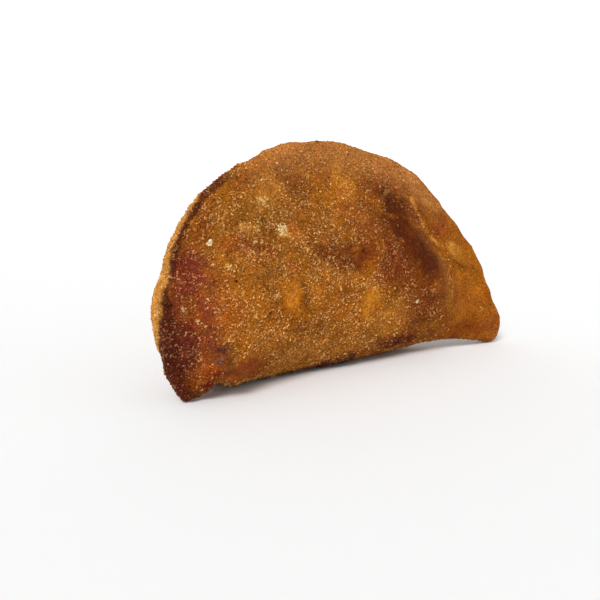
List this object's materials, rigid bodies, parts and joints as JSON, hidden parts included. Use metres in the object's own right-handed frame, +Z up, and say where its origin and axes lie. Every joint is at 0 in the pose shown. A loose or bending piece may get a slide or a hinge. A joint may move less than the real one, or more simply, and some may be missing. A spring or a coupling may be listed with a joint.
{
  "type": "chicken rissole",
  "caption": "Fried half-moon pastry in fine breadcrumbs, folded over a savoury filling, with a sealed cut rim; it stands on its folded edge and leans back a little.",
  "frame": {"origin": "middle of the bounding box in X and Y, on the floor that the pastry stands on", "axes": "+X runs along the folded edge, to the right as seen from the front; the front face looks towards -Y and leans back 10 degrees; +Z is up"},
  "size_m": [0.1116, 0.026, 0.0614],
  "materials": {
    "fried_crust": "matt, sandy, slightly oily golden-brown breadcrumb crust"
  },
  "bodies": {
    "root": {"rissole": "fried_crust"}
  },
  "joints": []
}
